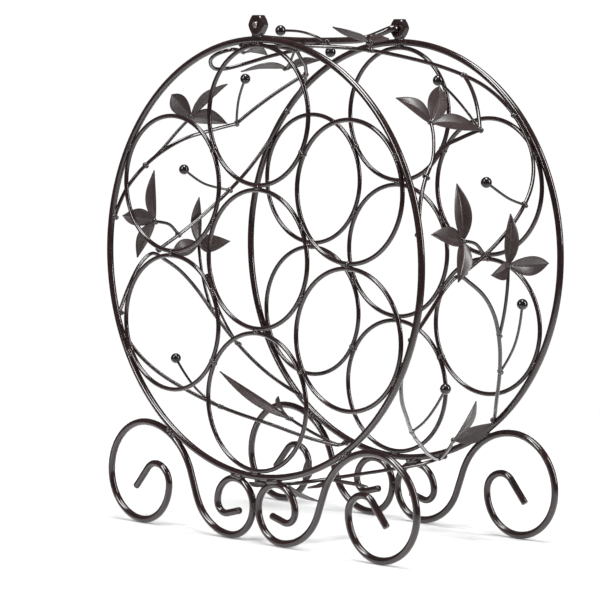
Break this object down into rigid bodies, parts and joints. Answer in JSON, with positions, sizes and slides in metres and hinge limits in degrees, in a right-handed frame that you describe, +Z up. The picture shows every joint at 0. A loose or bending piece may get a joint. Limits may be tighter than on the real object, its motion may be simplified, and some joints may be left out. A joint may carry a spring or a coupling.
{
  "type": "wine rack",
  "caption": "Round welded-wire wine rack: tangent bottle rings in paired frames, scrolled feet, leafy vine wires and a folding carry handle.",
  "frame": {"origin": "middle of the footprint, on the surface the feet stand on", "axes": "+Z up, -Y the front, where the bottles' necks stand out, +X to the right seen from the front"},
  "size_m": [0.3478, 0.167, 0.3986],
  "materials": {
    "wire_iron": "dark brown-black lacquer, semi-gloss",
    "leaf_iron": "dark brown lacquer, satin",
    "berry_iron": "dark brown-black lacquer, gloss",
    "weld_iron": "lacquered weld bead"
  },
  "bodies": {
    "rack": {"front_ring": "wire_iron", "rear_ring": "wire_iron", "front_cell_middle": "wire_iron", "front_cell_top": "wire_iron", "front_cell_upper_right": "wire_iron", "front_cell_lower_right": "wire_iron", "front_cell_bottom": "wire_iron", "front_cell_lower_left": "wire_iron", "front_cell_upper_left": "wire_iron", "rear_cell_middle": "wire_iron", "rear_cell_top": "wire_iron", "rear_cell_upper_right": "wire_iron", "rear_cell_lower_right": "wire_iron", "rear_cell_bottom": "wire_iron", "rear_cell_lower_left": "wire_iron", "rear_cell_upper_left": "wire_iron", "front_right_foot": "wire_iron", "front_left_foot": "wire_iron", "rear_right_foot": "wire_iron", "rear_left_foot": "wire_iron", "front_welds": "weld_iron", "rear_welds": "weld_iron", "front_hinge_nut": "wire_iron", "rear_hinge_nut": "wire_iron", "right_crown_wire": "wire_iron", "right_spray_wire": "wire_iron", "right_link_wire": "wire_iron", "right_hoop_wire": "wire_iron", "right_low_wire": "wire_iron", "right_twig_wires": "wire_iron", "right_berry_stems": "wire_iron", "right_berries": "berry_iron", "right_upper_leaves": "leaf_iron", "right_middle_leaves": "leaf_iron", "right_side_leaves": "leaf_iron", "right_low_leaves": "leaf_iron", "left_crown_wire": "wire_iron", "left_spray_wire": "wire_iron", "left_link_wire": "wire_iron", "left_hoop_wire": "wire_iron", "left_low_wire": "wire_iron", "left_twig_wires": "wire_iron", "left_berry_stems": "wire_iron", "left_berries": "berry_iron", "left_upper_leaves": "leaf_iron", "left_middle_leaves": "leaf_iron", "left_side_leaves": "leaf_iron", "left_low_leaves": "leaf_iron", "floor_wire": "wire_iron", "crown_tendril": "wire_iron", "crown_leaves": "leaf_iron", "crown_berries": "berry_iron", "crown_stems": "wire_iron", "floor_leaves": "leaf_iron"},
    "handle": {"handle": "wire_iron"}
  },
  "joints": [
    {"name": "handle_swing", "type": "hinge", "parent": "rack", "child": "handle", "pos_m": [0, 0, 0.3914], "axis": [0, 1, 0], "range_deg": [0, 224]}
  ]
}
